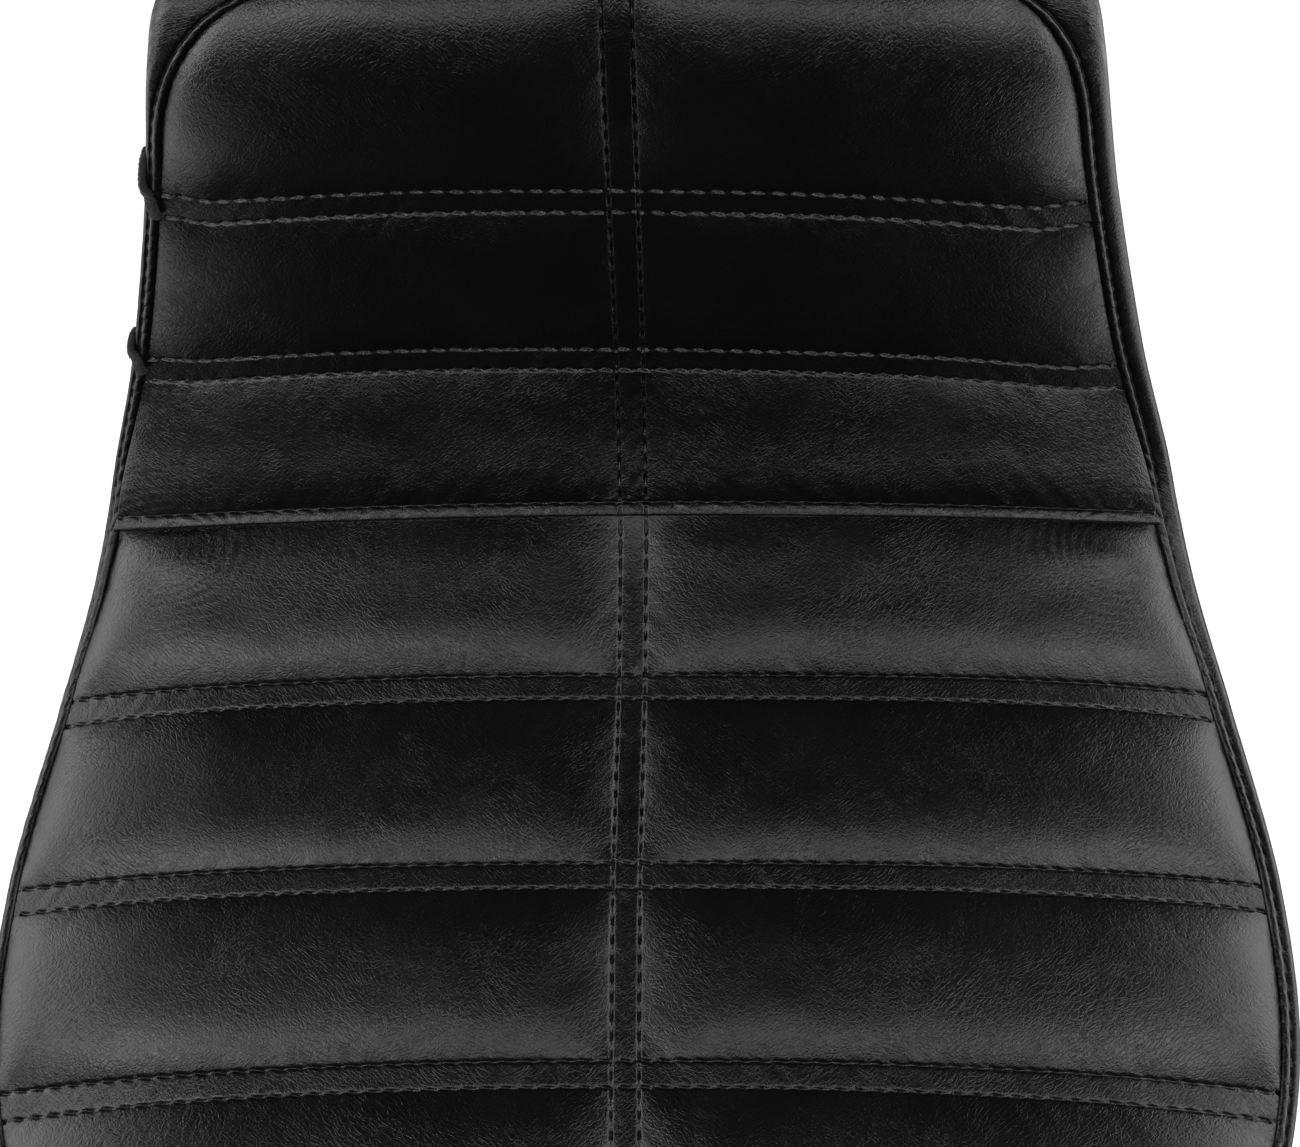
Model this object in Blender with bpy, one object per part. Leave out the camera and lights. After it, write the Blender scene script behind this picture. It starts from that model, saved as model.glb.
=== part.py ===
"""A step-up two-up motorcycle seat, as the separate pieces it comes apart into.

Metres, +Z up. The nose points to -Y and the tail to +Y. The origin is below the middle of the
seat, on the plane that the rubber bumpers stand on.

The seat's skin follows one centre line, drawn from the nose over the driver's pocket, up the
riser and along the pillion. Every layer (cover, pleat foam, moulded foam) is that skin set in
by its own depth, so the layers nest with a small gap.
"""
import math

import bmesh
import bpy
import numpy as np

# ---- driving dimensions -------------------------------------------------------------------
HEM_Y = -0.015              # the crease where the riser's hem laps onto the driver's panel
HEM_Z = 0.073               # height of that crease above the bumpers' feet
GAP = 0.0003                # clearance between touching pieces
COVER = 0.0012              # vinyl thickness
PLEAT_FOAM = 0.0070         # quilting foam sewn behind the pleated panels
FOAM_DEPTH = 0.0100         # depth of the moulded foam's face below the skin
FOAM_SLACK = 0.0010         # clearance between the moulded foam and the covers' sides
RIDGE = 0.0030              # width of the folded seam allowance along the side seams
PAN = 0.0030                # thickness of the seat pan
BRACKET = 0.0030            # thickness of the steel brackets
BASE_Z = 0.0080             # height of the cover's turned edge above the bumpers' feet
TUNNEL_HALF = 0.046         # half the width of the pan's centre tunnel
TUNNEL_RISE = 0.020         # how far the tunnel stands above the pan's decks
KICK_UP = 0.045             # how far the pan climbs over the rear mudguard
TURN_IN = 0.018             # how far the cover is turned in under the pan
SIDE_BULGE = 0.0030         # how far a side panel bows outwards
END_BULGE = 0.0020          # the same at the nose and at the tail
END_INSET = 0.0060          # how far the pan's edge sits inside the skin at nose and tail
SEAT_TIP_Y = 0.310          # the rear tab's tip; the nose is the same distance forward
KICK_START = 0.085          # where the pan begins to climb, behind the crease
KICK_REACH = 0.138          # and over what length it climbs
TUNNEL_FRONT = 0.180        # how far before the crease the tunnel begins
TUNNEL_FRONT_RAMP = 0.030
TUNNEL_REAR = 0.201         # how far behind the crease it ends
TUNNEL_REAR_RAMP = 0.035
FOAM_SPLIT_Y = HEM_Y + 0.0045   # where the driver's moulded foam meets the pillion's
FOAM_EDGE = 0.0050          # from the shoulder to the edge of the foam's face
FOAM_SHARES = (0.80, 0.50, 0.18)   # of the half width: the foam face's points
FOAM_END_ROWS = 4           # rows of the skin at the nose and at the tail without moulded foam
SEAM_DROP = 0.7             # a side seam's rounded edge round the ends: share of RIDGE it falls
SEAM_CROWN = 0.1            # and the share of RIDGE that its middle stands up
SIDE_SHARES = (0.14, 0.5, 0.85)   # of a side panel's depth: its rows of points

# Hardware
RIVET_HEAD = 0.0045         # radius
RIVET_SHANK = 0.0020        # radius
RIVETS_A_SIDE = 7           # that hold a side cover's turned edge
JOGGLE = 0.0080             # length of a bracket's step
BUMPER_PLACES = ((0.078, -0.200), (0.098, -0.050), (0.088, 0.072))   # to each side, and along
BUMPER_FOOT = 0.0085        # radius of a bumper's foot
BUMPER_TOP = 0.0130         # radius against the pan

# The centre line and widths, in millimetres from the crease:
# (along, up, half width to the side seam, drop of the edge below the middle, half width at pan)
PROFILE_MM = (
    (-290, -13, 98, 2, 92),
    (-276, -2, 104, 5, 98),
    (-250, 6, 117, 10, 109),
    (-205, 7, 139, 14, 129),
    (-142, 2, 160, 15, 149),
    (-93, -2, 161, 15, 150),
    (-43, -7, 152.5, 14, 146),
    (-18, -5, 145.5, 12, 142),
    (0, 0, 140.5, 10, 138),
    (12, 7.5, 136.5, 9, 135.5),
    (32, 32, 126, 8, 132),
    (52, 78, 112.5, 8, 128),
    (70, 117, 104, 9, 123),
    (79, 128, 101.5, 11, 121),
    (92, 134, 100, 13, 118),
    (120, 139, 99, 14, 113),
    (165, 141, 99, 14, 109),
    (215, 136, 97, 13, 106),
    (260, 124, 93, 11, 101),
    (290, 104, 88, 7, 96),
    (306, 84, 85, 3, 93),
)
HEM_KNOT = 8                # the PROFILE_MM row at the crease
RISER_TOP_KNOT = 13         # the row at the riser's top seam
EDGE_POWER = 4              # how late the skin rolls off towards its sides

# Rounded corners of the panels: how far along, and how far across
NOSE_CORNER = (0.050, 0.048)
RISER_CORNER = (0.044, 0.030)
PILLION_CORNER = (0.034, 0.030)
TAIL_CORNER = (0.060, 0.046)

# Woven loops on the left side seam
TAPE_WIDE = 0.0023
TAPE_THICK = 0.0014
LOOP_CLEARANCE = 0.0009     # between a loop and the cover's facets under it
LOOP_SHARES = np.array((0.0, 0.12, 0.25, 0.40, 0.55, 0.70, 0.85, 1.0))   # of its reach
LOOP_AWAY = (0.0012, 0.0019, 0.0028, 0.0044, 0.0055, 0.0064, 0.0072, 0.0080)   # from the seam

COLUMNS = (-1.0, -0.96, -0.82, -0.55, -0.2, 0.2, 0.55, 0.82, 0.96, 1.0)   # of a top panel
END_SHARES = (0.0, 0.5, 0.9)   # of half the nose's width: a side panel's rows round the end


# ---- the skin ------------------------------------------------------------------------------
def knots():
    """PROFILE_MM as an array in metres, with the crease moved to its place."""
    table = np.array(PROFILE_MM, dtype=float) / 1000.0
    table[:, 0] += HEM_Y
    table[:, 1] += HEM_Z
    return table


def profile(turn):
    """The centre line's row at a knot number, which may fall between two knots."""
    table = knots()
    last = len(table) - 1
    turn = min(max(turn, 0.0), float(last))
    start = min(int(turn), last - 1)
    spans = np.sqrt(np.linalg.norm(np.diff(table[:, :2], axis=0), axis=1))

    def slope(index):
        if index == 0:
            return (table[1] - table[0]) / spans[0]
        if index == last:
            return (table[last] - table[last - 1]) / spans[last - 1]
        before = (table[index] - table[index - 1]) / spans[index - 1]
        after = (table[index + 1] - table[index]) / spans[index]
        return (before * spans[index] + after * spans[index - 1]) / (spans[index - 1] + spans[index])

    part = turn - start
    span = spans[start]
    h_start = (1 + 2 * part) * (1 - part) ** 2
    h_end = part * part * (3 - 2 * part)
    m_start = part * (1 - part) ** 2
    m_end = part * part * (part - 1)
    return (h_start * table[start] + h_end * table[start + 1]
            + m_start * span * slope(start) + m_end * span * slope(start + 1))


TURNS = np.linspace(0, len(PROFILE_MM) - 1, 40 * len(PROFILE_MM))
PATH = np.array([profile(turn)[:2] for turn in TURNS])
LENGTHS = np.concatenate([[0.0], np.cumsum(np.linalg.norm(np.diff(PATH, axis=0), axis=1))])
HEM_S = float(np.interp(HEM_KNOT, TURNS, LENGTHS))
RISER_TOP_S = float(np.interp(RISER_TOP_KNOT, TURNS, LENGTHS))
TAIL_S = float(LENGTHS[-1])


def corner_cut(distance, corner):
    """How far a rounded corner pulls an edge in, at a distance from the panel's end."""
    along, across = corner
    if distance >= along:
        return 0.0
    reach = 1.0 - max(distance, 0.0) / along
    return across * (1.0 - math.sqrt(1.0 - reach * reach))


def station(length):
    """Everything the skin needs at a length along the centre line."""
    turn = float(np.interp(length, LENGTHS, TURNS))
    row = profile(turn)
    step = 0.01
    ahead = profile(turn + step)[:2] - profile(turn - step)[:2]
    ahead = ahead / np.linalg.norm(ahead)
    ends = corner_cut(length, NOSE_CORNER) + corner_cut(TAIL_S - length, TAIL_CORNER)
    shoulder = row[2] + RIDGE - ends
    seam = row[2] - ends
    if length <= RISER_TOP_S:
        seam -= corner_cut(RISER_TOP_S - GAP / 2 - length, RISER_CORNER)
    else:
        seam -= corner_cut(length - RISER_TOP_S - GAP / 2, PILLION_CORNER)
    return {"length": length, "y": row[0], "z": row[1], "up": np.array((0.0, -ahead[1], ahead[0])),
            "shoulder": shoulder, "seam": seam, "drop": row[3], "base": row[4] - ends}


def skin(place, across):
    """A point of the skin: a station, and a distance to the side."""
    drop = place["drop"] * abs(across / place["shoulder"]) ** EDGE_POWER
    return np.array((across, place["y"], place["z"])) - place["up"] * drop


def skin_normal(place, across):
    """The skin's outward normal at a point, square to the centre line."""
    share = across / place["shoulder"]
    tilt = place["drop"] * EDGE_POWER * share ** (EDGE_POWER - 1) / place["shoulder"]
    normal = place["up"] + np.array((tilt, 0.0, 0.0))
    return normal / np.linalg.norm(normal)


def ease(value):
    value = min(max(value, 0.0), 1.0)
    return value * value * (3 - 2 * value)


def base_height(y):
    """Height of the cover's turned edge: flat under the driver, higher over the mudguard."""
    return BASE_Z + KICK_UP * ease((y - HEM_Y - KICK_START) / KICK_REACH)


def tunnel_height(y):
    """How far the pan's middle stands above its decks."""
    along = y - HEM_Y
    return TUNNEL_RISE * min(ease((along + TUNNEL_FRONT) / TUNNEL_FRONT_RAMP),
                             ease((TUNNEL_REAR - along) / TUNNEL_REAR_RAMP))


def corner_steps(along, count):
    """Lengths that divide a rounded corner evenly, measured from its end."""
    return [along * (1 - math.cos(math.pi / 2 * index / count)) for index in range(count + 1)]


def panel_lengths():
    """The lengths along the centre line at which each panel has a row of points."""
    driver = corner_steps(NOSE_CORNER[0], 5)
    driver += list(np.linspace(NOSE_CORNER[0], HEM_S - 0.040, 8))[1:]
    driver += [HEM_S - 0.022, HEM_S - 0.010, HEM_S - GAP / 2]
    riser = [HEM_S + GAP / 2, HEM_S + 0.007, HEM_S + 0.016, HEM_S + 0.030, HEM_S + 0.050, HEM_S + 0.080]
    riser += [RISER_TOP_S - GAP / 2 - step for step in reversed(corner_steps(RISER_CORNER[0], 5))]
    pillion = [RISER_TOP_S + GAP / 2 + step for step in corner_steps(PILLION_CORNER[0], 4)]
    tail = [TAIL_S - step for step in reversed(corner_steps(TAIL_CORNER[0], 5))]
    pillion += list(np.linspace(pillion[-1], tail[0], 5))[1:-1] + tail
    return driver, riser, pillion


# ---- mesh helpers --------------------------------------------------------------------------
def grid_normals(grid):
    """Outward normals of a grid of points."""
    along = np.gradient(grid, axis=0)
    across = np.gradient(grid, axis=1)
    normals = np.cross(across, along)
    return normals / np.linalg.norm(normals, axis=2, keepdims=True)


def make_object(name, vertices, faces, material, smooth=True):
    mesh = bpy.data.meshes.new(name)
    mesh.from_pydata([tuple(point) for point in vertices], [], faces)
    build = bmesh.new()
    build.from_mesh(mesh)
    bmesh.ops.recalc_face_normals(build, faces=build.faces)
    build.to_mesh(mesh)
    build.free()
    mesh.materials.append(material)
    if smooth:
        mesh.shade_smooth()
        mesh.set_sharp_from_angle(angle=math.radians(40))
    piece = bpy.data.objects.new(name, mesh)
    bpy.context.scene.collection.objects.link(piece)
    return piece


def sheet_faces(rows, columns, first):
    """Triangles over a grid of points, always split along the same diagonal."""
    faces = []
    for row in range(rows - 1):
        for column in range(columns - 1):
            corner = first + row * columns + column
            faces.append((corner, corner + 1, corner + columns + 1))
            faces.append((corner, corner + columns + 1, corner + columns))
    return faces


def layer(name, grid, normals, top, bottom, material):
    """A closed slab between two depths below a grid of points."""
    rows, columns = grid.shape[:2]
    upper = (grid - normals * top).reshape(-1, 3)
    lower = (grid - normals * bottom).reshape(-1, 3)
    count = rows * columns
    faces = sheet_faces(rows, columns, 0)
    faces += [tuple(reversed(face)) for face in sheet_faces(rows, columns, count)]
    edge = [(0, column) for column in range(columns)]
    edge += [(row, columns - 1) for row in range(1, rows)]
    edge += [(rows - 1, column) for column in range(columns - 2, -1, -1)]
    edge += [(row, 0) for row in range(rows - 2, 0, -1)]
    loop = [row * columns + column for row, column in edge]
    for here, there in zip(loop, loop[1:] + loop[:1]):
        faces.append((here, there, there + count))
        faces.append((here, there + count, here + count))
    return make_object(name, np.concatenate([upper, lower]), faces, material)


def paint(name, colour, roughness, metallic=0.0):
    material = bpy.data.materials.new(name)
    material.use_nodes = True
    shader = material.node_tree.nodes["Principled BSDF"]
    shader.inputs["Base Color"].default_value = (*colour, 1.0)
    shader.inputs["Roughness"].default_value = roughness
    shader.inputs["Metallic"].default_value = metallic
    return material


def cylinder(name, radius, height, segments, material):
    """A capped cylinder that stands on its own origin."""
    mesh = bpy.data.meshes.new(name)
    build = bmesh.new()
    bmesh.ops.create_cone(build, cap_ends=True, segments=segments, radius1=radius, radius2=radius,
                          depth=height)
    bmesh.ops.translate(build, verts=build.verts, vec=(0, 0, height / 2))
    build.to_mesh(mesh)
    build.free()
    mesh.materials.append(material)
    piece = bpy.data.objects.new(name, mesh)
    bpy.context.scene.collection.objects.link(piece)
    return piece


def turned(name, outline, segments, material):
    """A closed solid of revolution about Z, from (radius, height) points, bottom to top."""
    vertices = [(0.0, 0.0, outline[0][1]), (0.0, 0.0, outline[-1][1])]
    for radius, height in outline:
        for index in range(segments):
            angle = 2 * math.pi * index / segments
            vertices.append((radius * math.cos(angle), radius * math.sin(angle), height))
    faces = []
    for index in range(segments):
        after = (index + 1) % segments
        faces.append((0, 2 + after, 2 + index))
        top = 2 + (len(outline) - 1) * segments
        faces.append((1, top + index, top + after))
        for ring in range(len(outline) - 1):
            low = 2 + ring * segments
            high = low + segments
            faces.append((low + index, low + after, high + after, high + index))
    return make_object(name, vertices, faces, material)


def cut(piece, cutter):
    """Takes a cutter's shape out of a piece."""
    cutter.hide_render = True
    cutter.display_type = "WIRE"
    modifier = piece.modifiers.new("hole_" + cutter.name, "BOOLEAN")
    modifier.operation = "DIFFERENCE"
    modifier.solver = "EXACT"
    modifier.object = cutter


# ---- covers and foams ----------------------------------------------------------------------
def panel_grid(lengths, of_point):
    """A top panel's grid of points or of normals."""
    places = [station(length) for length in lengths]
    return np.array([[of_point(place, place["seam"] * column) for column in COLUMNS]
                     for place in places])


def make_top_panel(name, lengths, cover, foam):
    """A pleated top panel: the vinyl, and the quilting foam that is sewn behind it."""
    grid = panel_grid(lengths, skin)
    normals = panel_grid(lengths, skin_normal)
    layer(name + "_cover", grid, normals, 0.0, COVER, cover)
    top = COVER + GAP
    inner = (slice(2, -2), slice(1, -1))
    layer(name + "_pleat_foam", grid[inner], normals[inner], top, top + PLEAT_FOAM, foam)


def square_on(length):
    """0 at the nose's and the tail's ends, 1 where the sides run straight on."""
    return min(ease(length / NOSE_CORNER[0]), ease((TAIL_S - length) / TAIL_CORNER[0]))


def side_path(lengths):
    """Stations and half widths along the seam, from the nose's middle to the tail's middle."""
    first = station(lengths[0])
    last = station(lengths[-1])
    path = [(first, max(GAP / 2, share * first["seam"]), True) for share in END_SHARES]
    path += [(place, place["seam"], False) for place in map(station, lengths)]
    path += [(last, max(GAP / 2, share * last["seam"]), True) for share in reversed(END_SHARES)]
    return path


def side_directions(path):
    """Horizontal directions out of the seat, square to its sides except round the ends."""
    plain = [(across if at_end else place["shoulder"], place["y"]) for place, across, at_end in path]
    heading = np.gradient(np.array(plain), axis=0)
    heading[[0, -1]] = ((1.0, 0.0), (-1.0, 0.0))
    heading /= np.linalg.norm(heading, axis=1, keepdims=True)
    outward = np.stack([heading[:, 1], -heading[:, 0], np.zeros(len(heading))], axis=1)
    squares = np.array([0.0 if at_end else square_on(place["length"]) for place, _, at_end in path])
    outward *= (1 - squares)[:, None]
    outward[:, 0] += squares
    return outward / np.linalg.norm(outward, axis=1, keepdims=True), squares


def side_grid(lengths):
    """The right side panel's skin: rows along the seat, columns from the seam to the pan."""
    path = side_path(lengths)
    outward, squares = side_directions(path)
    rows = []
    for (place, across, at_end), out, square in zip(path, outward, squares):
        edge = skin(place, across)
        start = edge + out * GAP * (1.5 - 0.5 * square)
        rounded = edge + out * RIDGE - np.array((0.0, 0.0, RIDGE * SEAM_DROP))
        shoulder = rounded * (1 - square) + skin(place, place["shoulder"]) * square
        middle = (start + shoulder) / 2 + np.array((0.0, 0.0, RIDGE * SEAM_CROWN))
        middle = middle * (1 - square) + skin(place, (across + place["shoulder"]) / 2) * square
        inset = END_INSET * (1 - square) + (place["shoulder"] - place["base"]) * square
        bulge = END_BULGE * (1 - square) + SIDE_BULGE * square
        foot = shoulder - out * inset
        foot[2] = base_height(foot[1])
        row = [start, middle, shoulder]
        for share in SIDE_SHARES:
            row.append(shoulder + (foot - shoulder) * share + out * bulge * 4 * share * (1 - share))
        turned_in = foot - out * TURN_IN
        turned_in[2] = base_height(turned_in[1])
        row += [foot, turned_in]
        if at_end and across <= GAP:
            for point in row:
                point[0] = GAP / 2
        rows.append(row)
    grid = np.array(rows)
    normals = grid_normals(grid)
    normals[:, 0] = [skin_normal(place, across) for place, across, _ in path]
    normals[[0, -1], :, 0] = 0.0
    return grid, normals, outward


def make_side_panels(grid, normals, cover):
    """Both side panels, each in one piece from the nose's middle to the tail's middle."""
    right = layer("right_side_cover", grid, normals, 0.0, COVER, cover)
    mirror = np.array((-1.0, 1.0, 1.0))
    left = layer("left_side_cover", grid * mirror, normals * mirror, 0.0, COVER, cover)
    return left, right


def foam_ring(length, grid, outward, row, flat_y=None):
    """One closed section of the moulded foam, from its belly round to its face."""
    place = station(length)
    foot = grid[row, 6]
    deck = foot[2] + COVER + PAN + 2 * GAP
    tunnel = deck + tunnel_height(foot[1])
    half = tunnel_half(foot[0])
    inner = COVER + FOAM_SLACK
    right = [np.array((half - 0.002, foot[1], tunnel)), np.array((half + 0.0025, foot[1], deck)),
             np.array((foot[0] - 2 * inner, foot[1], deck))]
    right += [grid[row, column] - outward[row] * inner for column in (5, 4)]
    right.append(skin(place, place["shoulder"] - FOAM_EDGE) - place["up"] * FOAM_DEPTH)
    for share in FOAM_SHARES:
        right.append(skin(place, place["shoulder"] * share) - place["up"] * FOAM_DEPTH)
    ring = right + [point * np.array((-1.0, 1.0, 1.0)) for point in reversed(right)]
    ring = np.array(ring)
    if flat_y is not None:
        ring[:, 1] = flat_y
    return ring


def make_foam(name, rings, material):
    size = len(rings[0])
    faces = [tuple(range(size)), tuple(range((len(rings) - 1) * size, len(rings) * size))]
    for ring in range(len(rings) - 1):
        for index in range(size):
            after = (index + 1) % size
            low = ring * size
            faces.append((low + index, low + after, low + size + after))
            faces.append((low + index, low + size + after, low + size + index))
    return make_object(name, np.concatenate(rings), faces, material)


# ---- the pan and what is fastened to it ----------------------------------------------------
def tunnel_half(pan_half):
    return min(TUNNEL_HALF, 0.6 * pan_half)


def make_pan(grid, outward, material):
    """A moulded pan: flat decks each side of a raised tunnel, kicked up over the mudguard."""
    feet = (grid[:, 6] - outward * (COVER + 2 * GAP))[3:-3]
    rows_top = []
    for foot in feet:
        half, y = foot[:2]
        inner = tunnel_half(half)
        low = base_height(y) + COVER + GAP
        rise = tunnel_height(y)
        section = ((-half, 0), (-inner - 0.002, 0), (-inner + 0.002, rise),
                   (inner - 0.002, rise), (inner + 0.002, 0), (half, 0))
        rows_top.append([(x, y, low + up + PAN) for x, up in section])
    top = np.array(rows_top)
    down = np.zeros_like(top)
    down[:, :, 2] = 1.0
    return layer("seat_pan", top, down, 0.0, PAN, material)


def make_rivet(name, place, slope, depth, reach, material, cut_pieces):
    """A blind rivet driven up into the pan: its head lies under what it holds."""
    outline = ((RIVET_HEAD * 0.55, -depth - 0.0016), (RIVET_HEAD * 0.9, -depth - 0.0011),
               (RIVET_HEAD, -depth - 0.0003), (RIVET_HEAD, -depth), (RIVET_SHANK, -depth),
               (RIVET_SHANK, reach))
    rivet = turned(name, outline, 10, material)
    hole = cylinder(name + "_hole", RIVET_SHANK + GAP, 0.016, 10, material)
    for item, low in ((rivet, 0.0), (hole, -0.008)):
        item.location = (place[0], place[1] - low * math.sin(slope), place[2] + low * math.cos(slope))
        item.rotation_euler = (slope, 0.0, 0.0)
    for piece in cut_pieces:
        cut(piece, hole)
    return rivet


def make_cover_rivets(grid, sides, pan, material):
    """Rivets that hold the covers' turned edges, along both sides of the pan."""
    middles = (grid[1:, 6:8] + grid[:-1, 6:8]).sum(axis=1) / 4
    sizes = np.linalg.norm(grid[1:, 6, :2] - grid[:-1, 6, :2], axis=1)
    travel = np.cumsum(sizes) - sizes / 2
    flats = np.where(sizes > 0.013)[0]
    for index in range(RIVETS_A_SIDE):
        target = np.sum(sizes) * (index + 0.9) / (RIVETS_A_SIDE + 0.8)
        row = flats[np.argmin(np.abs(travel[flats] - target))]
        x, y, z = middles[row]
        rise = grid[row + 1, 6] - grid[row, 6]
        slope = math.atan2(rise[2], rise[1])
        for side, sign, panel in (("left", -1, sides[0]), ("right", 1, sides[1])):
            name = "cover_rivet_%s_%d" % (side, index + 1)
            make_rivet(name, (sign * x, y, z), slope, GAP, COVER + PAN, material, (panel, pan))


def make_bracket(name, root, bend, tip, top, drop, half_width, material):
    """A steel strip with a joggle: root and tip are lengths along Y, at two heights."""
    sign = 1.0 if tip > root else -1.0
    step = JOGGLE * sign
    upper = [(root, top), (bend, top), (bend + step, top - drop), (tip, top - drop)]
    outline = upper + [(y, z - BRACKET) for y, z in reversed(upper)]
    vertices = []
    for index, (y, z) in enumerate(outline):
        at_tip = index in (3, 4)
        vertices.append((-half_width * (0.62 if at_tip else 1.0), y, z))
    vertices += [(-x, y, z) for x, y, z in vertices]
    count = len(outline)
    faces = []
    for index in range(count):
        after = (index + 1) % count
        faces.append((index, after, count + after, count + index))
    for low in (0, count):
        faces += [(low + a, low + a + 1, low + 6 - a, low + 7 - a) for a in range(3)]
    return make_object(name, vertices, faces, material, smooth=False)


def make_front_tongue(pan, steel):
    """The nose bracket that slides under the frame's cross bar."""
    top = BASE_Z + COVER
    tongue = make_bracket("front_tongue", -0.205, -0.270, -SEAT_TIP_Y, top, 0.0045, 0.020, steel)
    for index, y in enumerate((-0.256, -0.220)):
        make_rivet("tongue_rivet_%d" % (index + 1), (0.0, y, BASE_Z), 0.0, BRACKET - COVER + GAP,
                   COVER + PAN, steel, (tongue, pan))
    return tongue


def make_rear_tab(pan, steel):
    """The tail bracket that is screwed down onto the rear mudguard."""
    top = BASE_Z + KICK_UP + COVER
    tab = make_bracket("rear_tab", 0.212, 0.256, SEAT_TIP_Y, top, 0.0050, 0.018, steel)
    hole = cylinder("rear_tab_hole", 0.0043, 0.020, 20, steel)
    hole.location = (0.0, SEAT_TIP_Y - 0.012, top - 0.016)
    cut(tab, hole)
    for index, y in enumerate((0.222, 0.244)):
        make_rivet("tab_rivet_%d" % (index + 1), (0.0, y, BASE_Z + KICK_UP), 0.0,
                   BRACKET - COVER + GAP, COVER + PAN, steel, (tab, pan))
    return tab


def make_bumpers(rubber):
    """Six rubber bumpers under the pan's decks, which stand on the frame rails."""
    top = BASE_Z + COVER
    outline = ((BUMPER_FOOT, 0.0), (BUMPER_FOOT + 0.0020, 0.0012), (BUMPER_TOP, top))
    for row, (across, y) in enumerate(BUMPER_PLACES):
        for side, sign in (("left", -1), ("right", 1)):
            bumper = turned("rubber_bumper_%s_%d" % (side, row + 1), outline, 16, rubber)
            bumper.location = (sign * across, y, 0.0)


def loop_points(start, reach, lengths, grid, normals):
    """A loop's middle line on the right side panel: out of the seam and over the folded ridge."""
    rows = np.interp(start + reach * LOOP_SHARES, lengths, np.arange(len(lengths)))
    points, facing = [], []
    for row, away in zip(rows + len(END_SHARES), LOOP_AWAY):
        low = int(row)
        part = row - low
        section = grid[low] * (1 - part) + grid[low + 1] * part
        outward = normals[low] * (1 - part) + normals[low + 1] * part
        steps = np.linalg.norm(np.diff(section, axis=0), axis=1)
        travel = np.concatenate([[0.0], np.cumsum(steps)])
        point = np.array([np.interp(away, travel, section[:, axis]) for axis in range(3)])
        normal = np.array([np.interp(away, travel, outward[:, axis]) for axis in range(3)])
        normal /= np.linalg.norm(normal)
        points.append(point + normal * (TAPE_THICK / 2 + LOOP_CLEARANCE))
        facing.append(normal)
    return np.array(points), np.array(facing)


def make_side_loop(name, start, reach, lengths, grid, normals, webbing):
    """A small loop of woven tape on the left side seam, lying over the folded ridge."""
    centres, facing = loop_points(start, reach, lengths, grid, normals)
    along = np.gradient(centres, axis=0)
    along /= np.linalg.norm(along, axis=1, keepdims=True)
    vertices = []
    for centre, ahead, normal in zip(centres, along, facing):
        side = np.cross(ahead, normal)
        side /= np.linalg.norm(side)
        thick = np.cross(side, ahead)
        for a, b in ((-1, -1), (1, -1), (1, 1), (-1, 1)):
            vertices.append(centre + side * TAPE_WIDE / 2 * a + thick * TAPE_THICK / 2 * b)
    vertices = [(-x, y, z) for x, y, z in vertices]
    faces = [(0, 1, 2, 3)]
    last = 4 * (len(centres) - 1)
    faces.append((last, last + 1, last + 2, last + 3))
    for ring in range(len(centres) - 1):
        for index in range(4):
            low = 4 * ring
            after = (index + 1) % 4
            faces.append((low + index, low + after, low + 4 + after, low + 4 + index))
    return make_object(name, vertices, faces, webbing)


# ---- the whole seat ------------------------------------------------------------------------
def main():
    for item in list(bpy.data.objects):
        bpy.data.objects.remove(item, do_unlink=True)
    vinyl = paint("black_vinyl", (0.018, 0.018, 0.019), 0.42)
    quilt = paint("quilting_foam", (0.36, 0.36, 0.37), 0.95)
    moulded = paint("moulded_foam", (0.62, 0.56, 0.40), 0.92)
    plastic = paint("black_pan", (0.03, 0.03, 0.032), 0.55)
    steel = paint("zinc_steel", (0.55, 0.55, 0.56), 0.35, 1.0)
    rubber = paint("black_rubber", (0.02, 0.02, 0.02), 0.8)
    webbing = paint("woven_tape", (0.02, 0.02, 0.022), 0.9)

    driver, riser, pillion = panel_lengths()
    make_top_panel("driver", driver, vinyl, quilt)
    make_top_panel("riser", riser, vinyl, quilt)
    make_top_panel("pillion", pillion, vinyl, quilt)

    lengths = driver + riser + pillion
    grid, normals, outward = side_grid(lengths)
    sides = make_side_panels(grid, normals, vinyl)
    pan = make_pan(grid, outward, plastic)

    rows = dict(zip(lengths, range(len(END_SHARES), len(lengths) + len(END_SHARES))))
    crease = driver[-1]
    rings = [foam_ring(length, grid, outward, rows[length]) for length in driver[FOAM_END_ROWS:-1]]
    rings[0][:, 1] = rings[0][:, 1].max()
    rings.append(foam_ring(crease, grid, outward, rows[crease], FOAM_SPLIT_Y - GAP / 2))
    make_foam("driver_foam", rings, moulded)
    behind = riser[2:] + pillion[1:-FOAM_END_ROWS]
    rings = [foam_ring(crease, grid, outward, rows[crease], FOAM_SPLIT_Y + GAP / 2)]
    rings += [foam_ring(length, grid, outward, rows[length]) for length in behind]
    rings[-1][:, 1] = rings[-1][:, 1].min()
    make_foam("pillion_foam", rings, moulded)

    make_cover_rivets(grid, sides, pan, steel)
    make_front_tongue(pan, steel)
    make_rear_tab(pan, steel)
    make_bumpers(rubber)
    for name, start, reach in (("side_loop_upper", 0.0890, 0.019), ("side_loop_lower", 0.0400, 0.016)):
        make_side_loop(name, HEM_S + start, reach, lengths, grid, normals, webbing)


main()
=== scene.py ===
"""How the motorcycle seat looks: quilted vinyl, sewing, woven loops and hardware.

Metres, +Z up, in the part's own frame: the nose points to -Y and the tail to +Y. The seat's skin
is the same one the part is built on. Every cover is that skin, sampled finely and raised into
pillows between its seams, so each piece lies where its CAD node lies.
"""

import math

import bpy
import numpy as np
from mathutils import Matrix, Vector


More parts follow.
